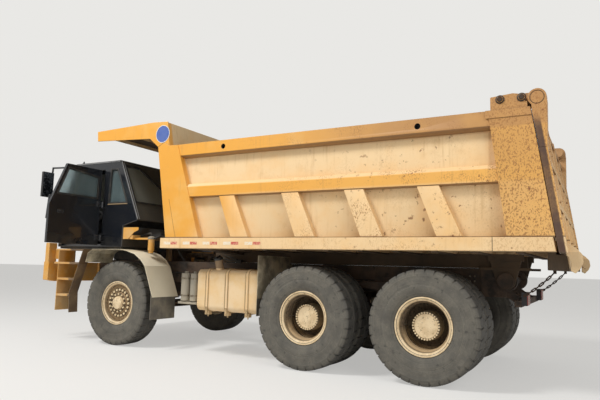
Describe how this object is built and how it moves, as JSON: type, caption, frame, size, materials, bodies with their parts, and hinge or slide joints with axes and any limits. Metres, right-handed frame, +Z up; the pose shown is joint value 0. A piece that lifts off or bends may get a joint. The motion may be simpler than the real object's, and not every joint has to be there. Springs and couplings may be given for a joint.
{
  "type": "mining dump truck",
  "caption": "Six-wheel mining dump truck with an offset cab, a ribbed tipping tub with canopy, a hinged tailgate and twin rear tyres.",
  "frame": {"origin": "on the ground, at the bottom centre of the whole truck's box with its door open", "axes": "+X towards the truck's front, +Y to its left, +Z up"},
  "size_m": [8.693, 4.4, 3.59],
  "materials": {
    "tub_paint": "dusty satin",
    "cab_paint": "dusty satin",
    "yellow_paint": "dusty satin",
    "chassis_paint": "dusty matt",
    "guard_paint": "dusty matt",
    "tank_paint": "dusty satin",
    "rim_paint": "dusty satin",
    "tread_rubber": "dusty",
    "engine_iron": "rough",
    "axle_iron": "rough",
    "hoist_steel": "satin",
    "cab_glass": "dusty gloss",
    "lamp_glass": "gloss",
    "seat_fabric": "woven",
    "mirror_black": "matt"
  },
  "bodies": {
    "chassis": {"frame": "chassis_paint", "front_bumper": "yellow_paint", "front_axle": "axle_iron", "springs": "chassis_paint", "drive_axles": "axle_iron", "prop_shafts": "axle_iron", "engine": "engine_iron", "grille": "cab_paint", "hood": "cab_paint", "deck": "yellow_paint", "cab_shell": "cab_paint", "cab_mounts": "yellow_paint", "cab_glass": "cab_glass", "dashboard": "mirror_black", "driver_seat": "seat_fabric", "ladder": "yellow_paint", "fenders": "guard_paint", "splash_guards": "guard_paint", "fuel_tank": "tank_paint", "air_tanks": "guard_paint", "oil_tank": "guard_paint", "exhaust": "guard_paint", "mirrors": "mirror_black", "lamps": "lamp_glass"},
    "knuckle_left": {"knuckle_left": "axle_iron"},
    "knuckle_right": {"knuckle_right": "axle_iron"},
    "tie_rod": {"tie_rod": "chassis_paint"},
    "front_wheel_left": {"front_tyre_left": "tread_rubber", "front_rim_left": "rim_paint"},
    "front_wheel_right": {"front_tyre_right": "tread_rubber", "front_rim_right": "rim_paint"},
    "mid_wheels_left": {"mid_tyres_left": "tread_rubber", "mid_rims_left": "rim_paint"},
    "mid_wheels_right": {"mid_tyres_right": "tread_rubber", "mid_rims_right": "rim_paint"},
    "rear_wheels_left": {"rear_tyres_left": "tread_rubber", "rear_rims_left": "rim_paint"},
    "rear_wheels_right": {"rear_tyres_right": "tread_rubber", "rear_rims_right": "rim_paint"},
    "tub": {"tub_floor": "tub_paint", "tub_sides": "tub_paint", "headboard": "tub_paint", "tail_chains": "chassis_paint"},
    "tailgate": {"tailgate": "tub_paint"},
    "door": {"door": "cab_paint", "door_glass": "cab_glass"},
    "hoist_barrel": {"hoist_barrel": "yellow_paint"},
    "hoist_stage_one": {"hoist_stage_one": "hoist_steel"},
    "hoist_stage_two": {"hoist_stage_two": "hoist_steel"},
    "hoist_rod": {"hoist_rod": "hoist_steel"}
  },
  "joints": [
    {"name": "steer_left", "type": "hinge", "parent": "chassis", "child": "knuckle_left", "pos_m": [2.5485, 0.865, 0.685], "axis": [0, 0, 1], "range_deg": [-30, 30]},
    {"name": "steer_right", "type": "hinge", "parent": "chassis", "child": "knuckle_right", "pos_m": [2.5485, -1.455, 0.685], "axis": [0, 0, 1], "range_deg": [-30, 30]},
    {"name": "tie_rod_slide", "type": "slide", "parent": "chassis", "child": "tie_rod", "axis": [0, 1, 0], "range_m": [-0.13, 0.13]},
    {"name": "front_wheel_left_spin", "type": "hinge", "parent": "knuckle_left", "child": "front_wheel_left", "pos_m": [2.5485, 1.032, 0.685], "axis": [0, 1, 0], "continuous": true},
    {"name": "front_wheel_right_spin", "type": "hinge", "parent": "knuckle_right", "child": "front_wheel_right", "pos_m": [2.5485, -1.622, 0.685], "axis": [0, 1, 0], "continuous": true},
    {"name": "mid_wheels_left_spin", "type": "hinge", "parent": "chassis", "child": "mid_wheels_left", "pos_m": [-1.0015, 0.9175, 0.685], "axis": [0, 1, 0], "continuous": true},
    {"name": "mid_wheels_right_spin", "type": "hinge", "parent": "chassis", "child": "mid_wheels_right", "pos_m": [-1.0015, -1.5075, 0.685], "axis": [0, 1, 0], "continuous": true},
    {"name": "rear_wheels_left_spin", "type": "hinge", "parent": "chassis", "child": "rear_wheels_left", "pos_m": [-2.6265, 0.9175, 0.685], "axis": [0, 1, 0], "continuous": true},
    {"name": "rear_wheels_right_spin", "type": "hinge", "parent": "chassis", "child": "rear_wheels_right", "pos_m": [-2.6265, -1.5075, 0.685], "axis": [0, 1, 0], "continuous": true},
    {"name": "tub_tip", "type": "hinge", "parent": "chassis", "child": "tub", "pos_m": [-3.4215, -0.295, 1.243], "axis": [0, -1, 0], "range_deg": [0, 45]},
    {"name": "tailgate_swing", "type": "hinge", "parent": "tub", "child": "tailgate", "pos_m": [-3.9495, -0.295, 3.284], "axis": [0, 1, 0], "range_deg": [0, 60]},
    {"name": "door_swing", "type": "hinge", "parent": "chassis", "child": "door", "pos_m": [3.0335, 1.185, 2], "axis": [0, 0, 1], "range_deg": [-90, 0]},
    {"name": "hoist_turn", "type": "hinge", "parent": "chassis", "child": "hoist_barrel", "pos_m": [1.5985, -0.295, 1.08], "axis": [0, -1, 0], "range_deg": [-0.5, 21.19]},
    {"name": "hoist_stage_one_slide", "type": "slide", "parent": "hoist_barrel", "child": "hoist_stage_one", "axis": [-0.1665, 0, 0.986], "range_m": [-0.002, 1.2201]},
    {"name": "hoist_stage_two_slide", "type": "slide", "parent": "hoist_stage_one", "child": "hoist_stage_two", "axis": [-0.1665, 0, 0.986], "range_m": [-0.002, 1.2201]},
    {"name": "hoist_rod_slide", "type": "slide", "parent": "hoist_stage_two", "child": "hoist_rod", "axis": [-0.1665, 0, 0.986], "range_m": [-0.002, 1.2201]}
  ],
  "couplings": [
    {"joint": "steer_right", "follows": "steer_left", "ratio": 1},
    {"joint": "tie_rod_slide", "follows": "steer_left", "m_per_rad": -0.23},
    {"joint": "hoist_turn", "follows": "tub_tip", "ratio": 0.4597},
    {"joint": "hoist_stage_one_slide", "follows": "tub_tip", "m_per_rad": 1.5497},
    {"joint": "hoist_stage_two_slide", "follows": "tub_tip", "m_per_rad": 1.5497},
    {"joint": "hoist_rod_slide", "follows": "tub_tip", "m_per_rad": 1.5497}
  ]
}
